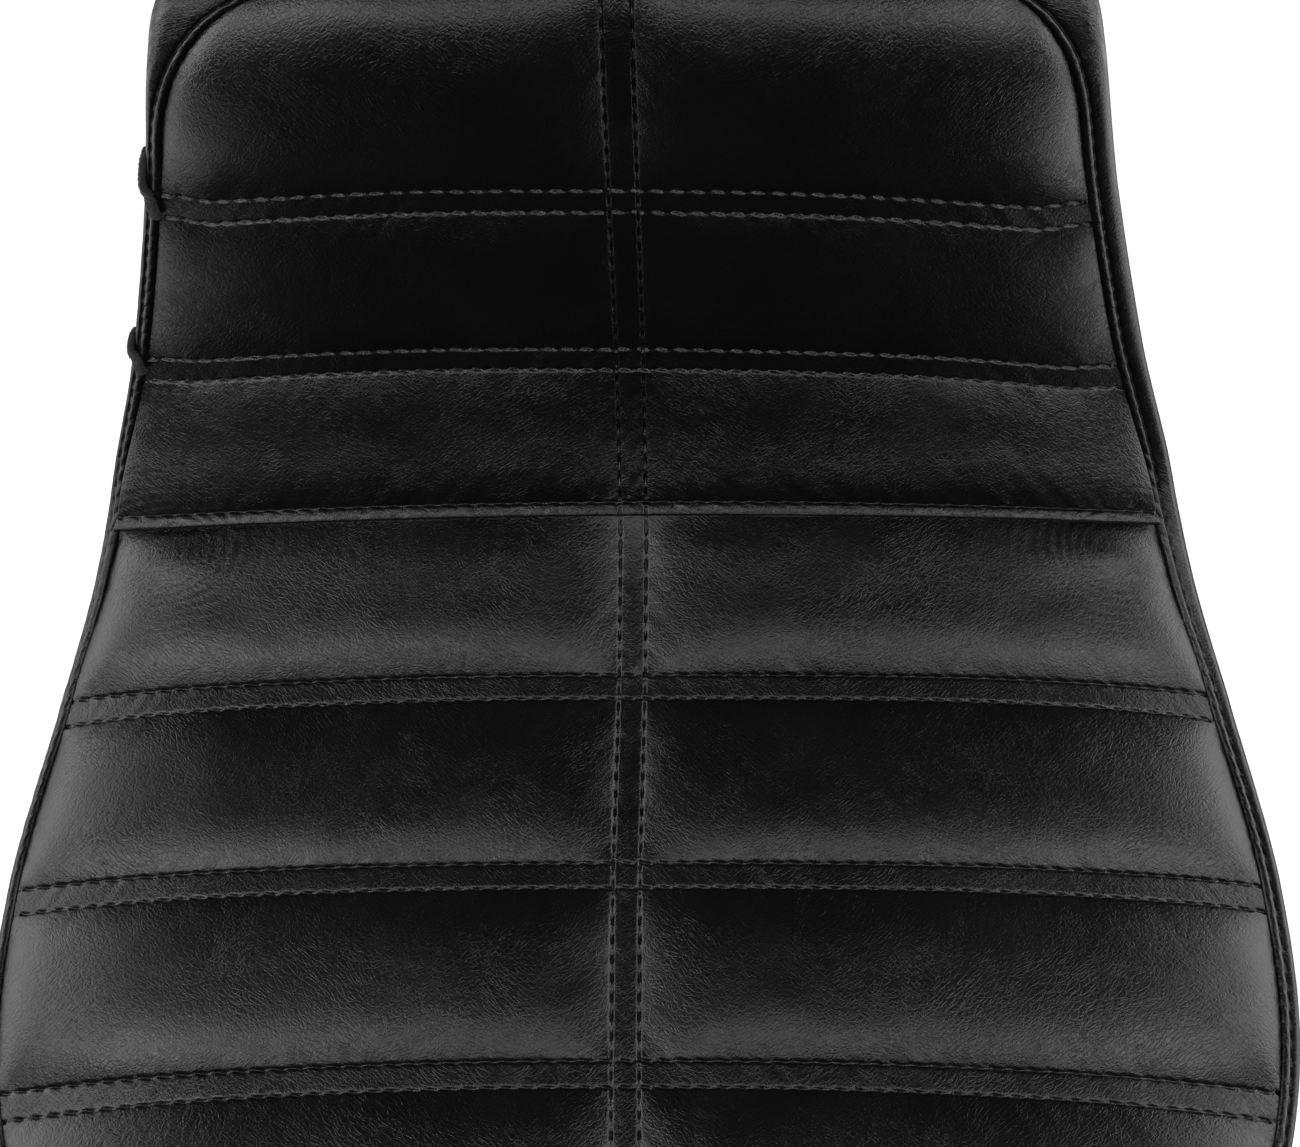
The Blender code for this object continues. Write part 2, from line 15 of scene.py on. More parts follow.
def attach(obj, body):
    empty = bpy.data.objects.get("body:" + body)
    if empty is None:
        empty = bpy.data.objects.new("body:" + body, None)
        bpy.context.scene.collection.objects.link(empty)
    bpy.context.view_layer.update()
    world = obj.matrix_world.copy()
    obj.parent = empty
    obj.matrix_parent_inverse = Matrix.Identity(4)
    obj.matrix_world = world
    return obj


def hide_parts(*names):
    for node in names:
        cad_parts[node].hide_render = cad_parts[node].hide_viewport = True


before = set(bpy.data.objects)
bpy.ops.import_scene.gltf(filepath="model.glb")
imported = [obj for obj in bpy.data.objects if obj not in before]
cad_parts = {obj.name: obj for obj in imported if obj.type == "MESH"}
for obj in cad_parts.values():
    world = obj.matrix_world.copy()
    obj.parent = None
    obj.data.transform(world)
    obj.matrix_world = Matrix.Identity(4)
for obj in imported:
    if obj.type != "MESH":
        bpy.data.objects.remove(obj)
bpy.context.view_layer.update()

# ---- the skin's driving dimensions, as in the part ----
HEM_Y = -0.015              # the crease where the riser's hem laps onto the driver's cover
HEM_Z = 0.073               # height of that crease above the bumpers' feet
RIDGE = 0.0030              # width of the folded seam allowance along the side seams
COVER = 0.0012              # vinyl thickness
BASE_Z = 0.0080             # height of the cover's turned edge above the bumpers' feet
KICK_UP = 0.045             # how far the pan climbs over the rear mudguard
TURN_IN = 0.018             # how far the cover is turned in under the pan
SIDE_BULGE = 0.0030         # how far a side panel bows outwards
END_BULGE = 0.0020          # the same at the nose and at the tail
END_INSET = 0.0060          # how far the pan's edge sits inside the skin at nose and tail
EDGE_POWER = 4              # how late the skin rolls off towards its sides

# The centre line and widths, in millimetres from the crease:
# (along, up, half width to the side seam, drop of the edge below the middle, half width at pan)
PROFILE_MM = (
    (-290, -13, 98, 2, 92),
    (-276, -2, 104, 5, 98),
    (-250, 6, 117, 10, 109),
    (-205, 7, 139, 14, 129),
    (-142, 2, 160, 15, 149),
    (-93, -2, 161, 15, 150),
    (-43, -7, 152.5, 14, 146),
    (-18, -5, 145.5, 12, 142),
    (0, 0, 140.5, 10, 138),
    (12, 7.5, 136.5, 9, 135.5),
    (32, 32, 126, 8, 132),
    (52, 78, 112.5, 8, 128),
    (70, 117, 104, 9, 123),
    (79, 128, 101.5, 11, 121),
    (92, 134, 100, 13, 118),
    (120, 139, 99, 14, 113),
    (165, 141, 99, 14, 109),
    (215, 136, 97, 13, 106),
    (260, 124, 93, 11, 101),
    (290, 104, 88, 7, 96),
    (306, 84, 85, 3, 93),
)
HEM_KNOT = 8                # the PROFILE_MM row at the crease
RISER_TOP_KNOT = 13         # the row at the riser's top seam

# Rounded corners of the panels: how far along, and how far across
NOSE_CORNER = (0.050, 0.048)
RISER_CORNER = (0.044, 0.030)
PILLION_CORNER = (0.034, 0.030)
TAIL_CORNER = (0.060, 0.046)

# ---- sewing --------------------------------------
GAUGE = 0.00635             # between the two needle lines of a row
CENTRE_GAUGE = 0.0068       # between the two lines down the middle
STITCH = 0.00472            # one stitch
THREAD = 0.00017            # thread radius
THREAD_DEPTH = 0.00115      # of a stitch's ends below the skin
THREAD_ARCH = 0.00055       # how much higher its middle lies
FINE_STEP = 0.00026         # between the points of a cover beside its seams
INNER_STEP = 4              # every fourth of them has a point inside the cover
DRIVER_ROWS = (0.0438, 0.0942, 0.1433, 0.1935, 0.2437)   # before the crease, along the skin
RISER_ROWS = (0.0468, 0.0974)                            # after the crease
PILLION_ROWS = (0.0470, 0.0975, 0.1480, 0.1985)          # after the riser's top seam
HEM_AHEAD = 0.0018          # how far up the riser from the crease the hem's fold lies
HEM_WIDTH = 0.0038          # from the hem's fold to its topstitch
HEM_RADIUS = 0.0011         # of the fold
HEM_LAP = 0.0015            # how high the hem lies over the skin at its topstitch
HEM_UNDER = 0.0040          # how far its edge is turned under
HEM_GAP = 0.0002            # between the turned edge and the skin
HEM_BOW = 0.0036            # how far the hem's ends lie ahead of its middle
HEM_GATHERS = 2.4           # how much stronger the topstitch gathers the hem than a row does
TOP_LEAN = 0.0030           # how far the riser's top seam comes down at its right end
TOPSTITCH = 0.0027          # from the side seam to the line sewn beside it
RIDGE_RISE = 0.0010         # height of the folded seam allowance between them
RIDGE_FOLD = 0.00042        # depth of the gathers across that allowance
RIDGE_WAVE = 0.00014        # height of its uneven waves
SIDE_SWELL = 0.0011         # how the side panel swells beyond its topstitch
SEAM_PLACES = (-0.290, -0.142, -0.040, 0.0, 0.045, 0.120)   # lengths from the crease
SEAM_INSET = {              # how far inside the skin's own seam line the sewn one runs there
    -1: (0.0, 0.0, 0.0, 0.0003, 0.0007, 0.0006),
    1: (0.0, 0.0018, 0.0026, 0.0034, 0.0044, 0.0040),
}

PILLOWS = {                 # how high each channel's pillow stands over its seams
    "driver": (0.0038,) * 6,
    "riser": (0.0020, 0.0024, 0.0044),
    "pillion": (0.0040,) + (0.0036,) * 4,
}
BAND = 0.00012              # the same between two lines of a row
FOOT_RISE = 0.0017          # how much fuller the riser's lowest channel is just above the hem
FOOT_REACH = 0.0060
SLOT_DEPTH = 0.0008         # of the slot that each stitch pulls into the vinyl
SLOT_WIDTH = 0.00034
SLOT_SLANT = 0.00085        # how far a row's slots lean over one stitch
SLOT_SINES = (0.46, 0.82)   # of the half turn over a stitch: where its slot opens, and is open
HOLE = 0.00025              # depth and radius of the dimple round each needle hole
CREASE = 0.00007            # depth of the fold from one slot to the next
CREASE_WIDTH = 0.0005
CREASE_SAG = 0.0005         # how far the channel before the hem leans back in its middle
CREASE_DIP = 0.0010         # how far the driver's cover dives under the hem
DIP_REACH = 0.0070
PUCKER = 0.00020            # height of the gathers that the stitches pull
BESIDE_REACH = 0.0085       # how soon a pillow reaches its height beside the middle seam
EDGE_REACH = 0.0055         # the same beside the side seams
UNEVEN = 0.00045            # how uneven the foam makes the vinyl over a few centimetres
DIMPLED = 0.00012           # the same over one centimetre
WRINKLE_ACROSS = 0.127      # where the vinyl bunches up beside each end of the hem
WRINKLE_AHEAD = 0.0070
WRINKLE_HEIGHT = 0.0012

# ---- woven loops on the left side seam -----------
TAPE_WIDE = 0.0029
TAPE_THICK = 0.0020
TAPE_RIB = 0.0008           # from one rib of the weave to the next
LOOPS = (("upper", 0.0895, 0.0220), ("lower", 0.0400, 0.0145))   # place after the crease, reach
LOOP_STEPS = 41             # rings along a loop
LOOP_SIDES = 16             # points round its section
LOOP_SHARES = (0.0, 0.18, 0.40, 0.75, 1.0)               # of the loop's reach along the seat
LOOP_AWAY = (0.0004, 0.0018, 0.0042, 0.0066, 0.0096)     # its distance from the seam there
LOOP_LIFT = (0.0004, 0.0008, 0.0009, 0.0006, 0.0000)     # its middle's height over the cover


# ---- the skin ------------------------------------
def ease(value):
    value = np.clip(value, 0.0, 1.0)
    return value * value * (3 - 2 * value)


def unit(vectors):
    """The same vectors, each one long."""
    return vectors / np.linalg.norm(vectors, axis=-1, keepdims=True)


def travelled(points):
    """The length covered at each point of a line."""
    steps = np.linalg.norm(np.diff(points, axis=0), axis=1)
    return np.concatenate([[0.0], np.cumsum(steps)])


def points_at(values, travel, line):
    """The points of a line that lie at given lengths of travel."""
    return np.stack([np.interp(values, travel, line[:, axis]) for axis in range(3)], axis=-1)


def profile_row(table, turn):
    """The profile at a knot number, on a spline through the knots."""
    last = len(table) - 1
    start = min(int(turn), last - 1)
    spans = np.sqrt(np.linalg.norm(np.diff(table[:, :2], axis=0), axis=1))
    rises = np.diff(table, axis=0) / spans[:, None]

    def slope(index):
        before, after = max(index - 1, 0), min(index, last - 1)
        mixed = rises[before] * spans[after] + rises[after] * spans[before]
        return mixed / (spans[before] + spans[after])

    part = turn - start
    before, after = (1 - part) ** 2, part * part
    level = (1 + 2 * part) * before * table[start] + (3 - 2 * part) * after * table[start + 1]
    lean = part * before * slope(start) + (part - 1) * after * slope(start + 1)
    return level + lean * spans[start]


def profile_table():
    """The centre line, sampled evenly: its lengths, and the profile row at each."""
    table = np.array(PROFILE_MM, dtype=float) / 1000.0
    table[:, 0] += HEM_Y
    table[:, 1] += HEM_Z
    turns = np.linspace(0, len(table) - 1, 1600)
    rows = np.array([profile_row(table, turn) for turn in turns])
    lengths = travelled(rows[:, :2])
    return turns, lengths, rows, unit(np.gradient(rows[:, :2], lengths, axis=0))


TURNS, LENGTHS, ROWS, HEADING = profile_table()
HEM_S = float(np.interp(HEM_KNOT, TURNS, LENGTHS))
HEM_LINE = HEM_S + HEM_AHEAD
RISER_TOP_S = float(np.interp(RISER_TOP_KNOT, TURNS, LENGTHS))
TAIL_S = float(LENGTHS[-1])


def corner_cut(distance, corner):
    """How far a rounded corner pulls an edge in, at a distance from the panel's end."""
    along, across = corner
    reach = np.clip(1.0 - np.maximum(distance, 0.0) / along, 0.0, 1.0)
    return across * (1.0 - np.sqrt(1.0 - reach * reach))


def column(index, lengths):
    return np.interp(lengths, LENGTHS, ROWS[:, index])


def end_cut(lengths):
    return corner_cut(lengths, NOSE_CORNER) + corner_cut(TAIL_S - lengths, TAIL_CORNER)


def shoulder_half(lengths):
    return column(2, lengths) + RIDGE - end_cut(lengths)


def base_half(lengths):
    return column(4, lengths) - end_cut(lengths)


def seam_half(lengths, on_pillion, sign):
    """From the middle to the side seam, on the riser's side of its top seam or past it."""
    if on_pillion:
        cut = corner_cut(lengths - RISER_TOP_S, PILLION_CORNER)
    else:
        cut = corner_cut(RISER_TOP_S - lengths, RISER_CORNER)
        inset = np.interp(lengths - HEM_S, SEAM_PLACES, SEAM_INSET[sign])
        cut = cut + inset * ease((RISER_TOP_S - lengths) / RISER_CORNER[0])
    return column(2, lengths) - end_cut(lengths) - cut


def skin(lengths, across):
    """Points of the skin and its outward normals, for arrays of lengths and side distances."""
    lengths, across = np.broadcast_arrays(lengths, across)
    up_y = -np.interp(lengths, LENGTHS, HEADING[:, 1])
    up_z = np.interp(lengths, LENGTHS, HEADING[:, 0])
    half = shoulder_half(lengths)
    share = across / half
    drop = column(3, lengths)
    fall = drop * np.abs(share) ** EDGE_POWER
    points = np.stack([across, column(0, lengths) - up_y * fall, column(1, lengths) - up_z * fall],
                      axis=-1)
    tilt = drop * EDGE_POWER * np.abs(share) ** (EDGE_POWER - 1) * np.sign(share) / half
    normals = np.stack([tilt, up_y, up_z], axis=-1)
    return points, unit(normals)


def base_height(y):
    """Height of the cover's turned edge: flat under the driver, higher over the mudguard."""
    return BASE_Z + KICK_UP * ease((y - HEM_Y - 0.085) / 0.138)


# ---- relief --------------------------------------
def noise(u, v, seed):
    """Smooth value noise between -1 and 1, one cell to a unit."""
    size = 97
    lattice = np.random.default_rng(seed).uniform(-1.0, 1.0, (size, size))
    cell_u, cell_v = np.floor(u).astype(int), np.floor(v).astype(int)
    part_u, part_v = ease(u - cell_u), ease(v - cell_v)

    def between(above):
        left, right = (lattice[(cell_u + step) % size, (cell_v + above) % size] for step in (0, 1))
        return left + (right - left) * part_u

    low = between(0)
    return low + (between(1) - low) * part_v


def channel_rise(along, lines, pillows):
    """Height of the pillows between one seam and the next, at lengths along the skin."""
    lines = np.array(lines)
    index = np.clip(np.searchsorted(lines, along) - 1, 0, len(lines) - 2)
    width = lines[index + 1] - lines[index]
    share = np.clip((along - lines[index]) / width, 0.0, 1.0)
    height = np.where(width < 2 * GAUGE, BAND, np.array(pillows)[index // 2])
    return height * (1 - np.abs(2 * share - 1) ** 3.0)


def needle_line(distance, travel, slant=0.0):
    """A needle line: a leaning slot under each stitch, dimples between, and a faint fold."""
    part = travel / STITCH - np.floor(travel / STITCH)
    closed, opened = SLOT_SINES
    opening = ease((np.sin(math.pi * part) - closed) / (opened - closed))
    leaning = distance + slant * (part - 0.5)
    slot = SLOT_DEPTH * opening * np.exp(-(leaning / SLOT_WIDTH) ** 2)
    from_hole = np.minimum(part, 1 - part) * STITCH
    dimple = HOLE * np.exp(-(from_hole ** 2 + distance ** 2) / (2 * HOLE ** 2))
    return -slot - dimple - CREASE * np.exp(-(leaning / CREASE_WIDTH) ** 2)


def gathers(distance, travel, slant, seed):
    """Gathers that fan out from a needle line, on both of its sides."""
    away = np.abs(distance)
    strength = 0.65 + 0.55 * noise(travel / 0.011, np.sign(distance) * 3.3 + 7.5, seed)
    swell = np.sin(math.pi * (travel + slant * away) / STITCH) ** 2
    folds = noise((travel + 1.2 * slant * away) / 0.0040, away / 0.02 + seed, seed + 5)
    near = np.minimum(away / 0.0007, 1.0)
    return PUCKER * strength * near * (swell * np.exp(-away / 0.0016)
                                       + 0.9 * folds * np.exp(-away / 0.0070))


def middle_seam(along):
    """How far the middle seam lies to the right of the seat's middle."""
    return np.interp(along, (0.0, HEM_S - 0.142, HEM_S - 0.093, HEM_S - 0.043, HEM_S, RISER_TOP_S),
                     (-0.0010, -0.0026, -0.0026, -0.0016, -0.0012, -0.0008))


def corner_wrinkles(along, across):
    """The vinyl bunches up, and ripples round the bunch, where the hem meets the side seams."""
    aside = np.abs(across) - WRINKLE_ACROSS
    behind = along - (HEM_LINE - WRINKLE_AHEAD)
    swell = WRINKLE_HEIGHT * np.exp(-(aside / 0.015) ** 2 - (behind / 0.0065) ** 2)
    radius = np.hypot(aside, 1.4 * behind)
    wander = noise(across / 0.012, along / 0.012, 9)
    ripple = np.sin(2 * math.pi * radius / 0.0032 + 3.0 * wander)
    return swell + 0.00006 * ripple * np.exp(-((radius - 0.018) / 0.013) ** 2)


def panel_relief(along, across, half, lines, needle_lines, pillows):
    """Height of a pleated panel over the skin."""
    centre = CENTRE_GAUGE / 2
    aside = np.abs(across - middle_seam(along))
    away = aside - centre
    between = 0.10 * (1 - (aside / centre) ** 2)
    beside = np.where(away > 0, 1 - np.exp(-away / BESIDE_REACH), between)
    edge = 1 - np.exp(-np.maximum(half - np.abs(across), 0.0) / EDGE_REACH)
    height = channel_rise(along, lines, pillows) * beside * edge
    height += UNEVEN * noise(along / 0.035, across / 0.042, 3) * edge * beside
    height += DIMPLED * noise(along / 0.009, across / 0.012, 4) * edge
    for number, line in enumerate(needle_lines):
        distance = along - line
        pull = HEM_GATHERS if line == HEM_LINE + HEM_WIDTH else 1.0
        height += needle_line(distance, across, SLOT_SLANT)
        slant = 0.7 * np.where(distance > 0, 1.0, -1.0) * np.where(across > 0, 1.0, -1.0)
        height += gathers(distance, across, slant, 20 + number) * edge * pull
    height += needle_line(away, along)
    height += gathers(away, along, 1.1, 11)
    return height


# ---- meshes --------------------------------------
def spaced(start, end, lines, fine, coarse, reach):
    """Positions from start to end, closer together near lines, the last one an inner point's."""
    probe = np.linspace(start, end, 4000)
    near = np.zeros_like(probe)
    for line in lines:
        near = np.maximum(near, np.exp(-(np.maximum(np.abs(probe - line) - reach, 0) / reach) ** 2))
    density = 1 / coarse + (1 / fine - 1 / coarse) * near
    total = np.concatenate([[0.0], np.cumsum((density[1:] + density[:-1]) / 2 * np.diff(probe))])
    count = INNER_STEP * math.ceil(total[-1] / INNER_STEP)
    return np.interp(np.linspace(0.0, total[-1], count + 1), total, probe)


def quads(rows, columns, first):
    """Quads over a grid of points, as an array of index rows."""
    row, col = np.meshgrid(np.arange(rows - 1), np.arange(columns - 1), indexing="ij")
    low = first + row * columns + col
    return np.stack([low, low + 1, low + columns + 1, low + columns], axis=-1).reshape(-1, 4)


def make_mesh(name, points, faces, material, skin_place=None):
    """A smooth piece. skin_place is where each point lies on the flat hide: across, along."""
    mesh = bpy.data.meshes.new(name)
    mesh.from_pydata(points.tolist(), [], faces)
    if skin_place is not None:
        attribute = mesh.attributes.new("hide", "FLOAT_VECTOR", "POINT")
        attribute.data.foreach_set("vector", skin_place.astype(np.float32).ravel())
    mesh.materials.append(material)
    mesh.shade_smooth()
    piece = bpy.data.objects.new(name, mesh)
    bpy.context.scene.collection.objects.link(piece)
    return piece


def closed_sheet(name, face, back, hide, material):
    """A closed piece from a fine outer grid and a coarser inner one, sewn along their edges."""
    rows, columns = face.shape[:2]
    inner = back[::INNER_STEP, ::INNER_STEP]
    inner_rows, inner_columns = inner.shape[:2]
    first = rows * columns
    faces = quads(rows, columns, 0).tolist()
    faces += quads(inner_rows, inner_columns, first)[:, ::-1].tolist()
    outer = np.arange(first).reshape(rows, columns)
    below = first + np.arange(inner_rows * inner_columns).reshape(inner_rows, inner_columns)
    for near, far in ((outer[0], below[0]), (outer[:, -1], below[:, -1]),
                      (outer[-1, ::-1], below[-1, ::-1]), (outer[::-1, 0], below[::-1, 0])):
        for index in range(len(far) - 1):
            run = near[index * INNER_STEP:(index + 1) * INNER_STEP + 1]
            faces.append(run[::-1].tolist() + far[index:index + 2].tolist())
    points = np.concatenate([face.reshape(-1, 3), inner.reshape(-1, 3)])
    inner_hide = hide[::INNER_STEP, ::INNER_STEP]
    places = np.concatenate([hide.reshape(-1, 3), inner_hide.reshape(-1, 3)])
    return make_mesh(name, points, faces, material, places)


def ring_faces(first, rings, sides, turn=1):
    """Faces of a tube of rings, closed at its ends; turn is -1 where the rings run backwards."""
    last = first + (rings - 1) * sides
    faces = [list(range(first, first + sides))[::-turn], list(range(last, last + sides))[::turn]]
    for low in range(first, last, sides):
        for index in range(sides):
            after = (index + 1) % sides
            face = [low + index, low + after, low + sides + after, low + sides + index]
            faces.append(face[::turn])
    return faces


def tubes(name, centres, normals, radius, material, sides=6):
    """Short tubes with rounded ends, one to each row of centres."""
    heading = unit(np.gradient(centres, axis=1))
    across = unit(np.cross(heading, normals))
    over = np.cross(across, heading)
    count, samples = centres.shape[:2]
    taper = 0.55 + 0.45 * np.sqrt(np.sin(math.pi * np.linspace(0.0, 1.0, samples)))
    points = []
    for index in range(sides):
        angle = 2 * math.pi * index / sides
        ring = over * math.cos(angle) + across * math.sin(angle)
        points.append(centres + ring * (radius * taper)[None, :, None])
    points = np.stack(points, axis=2).reshape(-1, 3)
    starts = range(0, count * samples * sides, samples * sides)
    faces = [face for first in starts for face in ring_faces(first, samples, sides)]
    return make_mesh(name, points, faces, material)


def finish_piece(piece, slot, *nodes):
    """Puts a piece on the seat's body and hides the CAD nodes that it stands for; its slot is not
    used.
    """
    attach(piece, "root")
    if nodes:
        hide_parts(*nodes)


# ---- pleated panels ------------------------------
def row_lines(centres):
    """Both needle lines of each row."""
    return sorted(centre + side * GAUGE / 2 for centre in centres for side in (-1, 1))


def driver_bow(along, share):
    """How far the driver's rows bend towards the nose, away from the middle."""
    before_hem = (0.0, 0.043, 0.093, 0.142, 0.192, 0.242, HEM_S)
    bend = (HEM_BOW, 0.0028, 0.0030, 0.0060, 0.0080, 0.0050, 0.0)
    return np.interp(HEM_S - along, before_hem, bend) * share ** 2


def riser_bow(along, share):
    """The same on the riser: its rows droop, then turn up again in their last stretch."""
    after_hem = (0.0, 0.045, 0.097, RISER_TOP_S - HEM_S)
    bends = ((HEM_BOW, 0.0040, 0.0040, 0.0), (0.0, 0.0070, 0.0080, 0.0),
             (0.0, 0.0020, 0.0035, 0.0), (0.0, 0.0022, 0.0024, TOP_LEAN))
    droop, roll, curl, lean = (np.interp(along - HEM_S, after_hem, bend) for bend in bends)
    return (droop * share ** 2 + roll * share ** 4 - curl * ease((np.abs(share) - 0.87) / 0.13)
            + lean * share)


PANELS = {
    "driver": (0.0, HEM_LINE + 0.004, row_lines(HEM_S - row for row in DRIVER_ROWS)),
    "riser": (HEM_LINE + HEM_RADIUS, RISER_TOP_S,
              [HEM_LINE + HEM_WIDTH] + row_lines(HEM_S + row for row in RISER_ROWS)),
    "pillion": (RISER_TOP_S, TAIL_S, row_lines(RISER_TOP_S + row for row in PILLION_ROWS)),
}


def panel_place(name, along, share):
    """Lengths and side distances on the skin, from rows that bow and shares of the width."""
    if name == "driver":
        lengths = along - driver_bow(along, share)
    elif name == "riser":
        lengths = along - riser_bow(along, share)
    else:
        lengths = along - TOP_LEAN * share * ease((RISER_TOP_S + 0.06 - along) / 0.06)
    half = np.where(share < 0, seam_half(lengths, name == "pillion", -1),
                    seam_half(lengths, name == "pillion", 1))
    return lengths, share * half, half


def panel_height(name, along, across, half):
    start, end, needles = PANELS[name]
    if name == "driver":
        lines = [start] + needles + [HEM_LINE]
    elif name == "riser":
        lines = needles + [end]
    else:
        lines = [start] + needles + [end]
    height = panel_relief(along, across, half, lines, needles, PILLOWS[name])
    if name != "pillion":
        height = height + corner_wrinkles(along, across)
    if name == "driver":
        share = np.clip((along - needles[-1]) / (HEM_LINE - needles[-1]), 0.0, 1.0)
        height = height + CREASE_SAG * np.sin(2 * math.pi * share)
        height = height - CREASE_DIP * np.exp(-((HEM_LINE - along) / DIP_REACH) ** 2)
        height = np.where(along > HEM_LINE, np.minimum(height, 0.0), height)
    if name == "riser":
        share = np.clip((HEM_LINE + HEM_WIDTH - along) / (HEM_WIDTH - HEM_RADIUS), 0.0, 1.0)
        lap = HEM_LAP + (2 * HEM_RADIUS - HEM_LAP) * np.sin(share * math.pi / 2)
        beyond = np.maximum(along - HEM_LINE - HEM_WIDTH, 0.0)
        full = FOOT_RISE * (1 - np.exp(-beyond / FOOT_REACH))
        height = height + lap * np.exp(-(beyond / 0.016) ** 2)
        height = height + full * np.clip(1 - beyond / (needles[1] - needles[0]), 0.0, 1.0)
    return height


def hem_fold(share, height):
    """The riser's first rows of points: its hem, from the edge turned under and round the fold."""
    under = [(HEM_LINE + HEM_UNDER - 0.0007 * step, HEM_GAP, 0.0) for step in range(4)]
    bend = [(HEM_LINE + HEM_RADIUS * (1 - math.cos(angle)),
             HEM_GAP + HEM_RADIUS * (1 + math.sin(angle)), max(math.sin(angle), 0.0))
            for angle in np.linspace(-math.pi / 2, math.pi / 2, 9)[:-1]]
    rows = []
    for length, lift, over in under + bend:
        lengths, across, _ = panel_place("riser", np.full_like(share, length), share)
        points, normals = skin(lengths, across)
        rows.append(points + normals * (lift + over * (height - 2 * HEM_RADIUS))[:, None])
    return np.array(rows)


def panel_grid(name):
    """A panel's outer points, and the inner ones a vinyl's thickness below the skin."""
    start, end, needles = PANELS[name]
    coarse = 0.0011 if name == "pillion" else 0.0008
    along = spaced(start, end, [start] + needles + [end], FINE_STEP, coarse, 0.0010)
    widest = float(seam_half(along, name == "pillion", -1).max())
    shifts = middle_seam(np.array((start, end)))
    edges = [-widest, widest] + [side * CENTRE_GAUGE / 2 + shift for side in (-1, 1)
                                 for shift in (shifts.min(), shifts.max())]
    wide = 0.0010 if name == "pillion" else 0.0008
    share = spaced(-widest, widest, edges, FINE_STEP, wide, 0.0012) / widest
    lengths, across, half = panel_place(name, along[:, None], share[None, :])
    points, normals = skin(lengths, across)
    height = panel_height(name, along[:, None] * np.ones_like(across), across, half)
    face = points + normals * height[..., None]
    back = points - normals * COVER
    hide = np.stack([across, lengths * np.ones_like(across), height], axis=-1)
    if name == "riser":
        fold = hem_fold(share, height[0])
        face = np.concatenate([fold, face])
        back = np.concatenate([back[:1]] * len(fold) + [back])
        ahead = -coarse * np.arange(len(fold), 0, -1)[:, None, None] * np.array((0.0, 1.0, 0.0))
        hide = np.concatenate([hide[:1] + ahead, hide])
    return face, back, hide


def make_panel(name, material):
    """A pleated panel: vinyl quilted over its foam, as one closed, padded piece."""
    face, back, hide = panel_grid(name)
    piece = closed_sheet(name + "_pad", face, back, hide, material)
    finish_piece(piece, "vinyl", name + "_cover")


# ---- threads of the panels -----------------------
def stitch_samples():
    """Along one stitch: shares of its length, its depth below the skin, and its lean."""
    share = np.linspace(0.0, 1.0, 6)
    depth = -THREAD_DEPTH + THREAD_ARCH * np.sin(math.pi * share)
    return share, depth, -SLOT_SLANT * (share - 0.5)


def cross_stitches(name, line):
    """Centres and normals of the stitches along one needle line across a panel."""
    share, depth, slant = stitch_samples()
    halves = panel_place(name, np.array([line, line]), np.array([-1.0, 1.0]))[2]
    left, right = (math.floor((half - 0.002) / STITCH) for half in halves)
    holes = np.arange(-left, right) * STITCH
    across = holes[:, None] + share[None, :] * STITCH
    side = across / np.where(across < 0, halves[0], halves[1])
    along = line + slant[None, :] * np.ones_like(across)
    lengths, _, _ = panel_place(name, along, side)
    points, normals = skin(lengths, across)
    lift = depth + (HEM_LAP if line == HEM_LINE + HEM_WIDTH else 0.0)
    return points + normals * lift[None, :, None], normals


def long_stitches(name):
    """For both middle lines of a panel, the centres and normals of their stitches."""
    start, end, _ = PANELS[name]
    start = HEM_LINE + HEM_WIDTH if name == "riser" else start
    end = HEM_LINE if name == "driver" else end
    share, depth, _ = stitch_samples()
    first, last = math.ceil((start + 0.001) / STITCH), math.floor((end - 0.001) / STITCH)
    holes = np.arange(first, last) * STITCH
    along = holes[:, None] + share[None, :] * STITCH
    lines = []
    for side in (-1, 1):
        points, normals = skin(along, side * CENTRE_GAUGE / 2 + middle_seam(along))
        lines.append((points + normals * depth[None, :, None], normals))
    return lines


def make_panel_threads(name, material):
    rows = [cross_stitches(name, line) for line in PANELS[name][2]]
    for kind, lines in (("_row_stitches", rows), ("_middle_stitches", long_stitches(name))):
        centres, normals = (np.concatenate(parts) for parts in zip(*lines))
        finish_piece(tubes(name + kind, centres, normals, THREAD, material), "webbing")


# ---- side covers ---------------------------------
END_ROWS = 59               # rows of a side cover across half the nose, and half the tail


def corner_steps(along, count):
    """Lengths that divide a rounded corner evenly, measured from its end."""
    return along * (1 - np.cos(math.pi / 2 * np.arange(count + 1) / count))


def side_lengths():
    """Lengths along the seat at which the side cover has a row of points, and its panel there."""
    step = 0.0006
    nose = corner_steps(NOSE_CORNER[0], 96)
    driver = np.arange(NOSE_CORNER[0] + step, RISER_TOP_S - RISER_CORNER[0], step)
    riser = RISER_TOP_S - corner_steps(RISER_CORNER[0], 60)[::-1]
    pillion = RISER_TOP_S + corner_steps(PILLION_CORNER[0], 52)[1:]
    tail = TAIL_S - corner_steps(TAIL_CORNER[0], 68)[::-1]
    behind = np.arange(pillion[-1] + 0.0012, tail[0] - 0.0006, 0.0012)
    front = np.concatenate([nose, driver, riser])
    lengths = np.concatenate([front, pillion, behind, tail])
    return lengths, np.arange(len(lengths)) >= len(front)


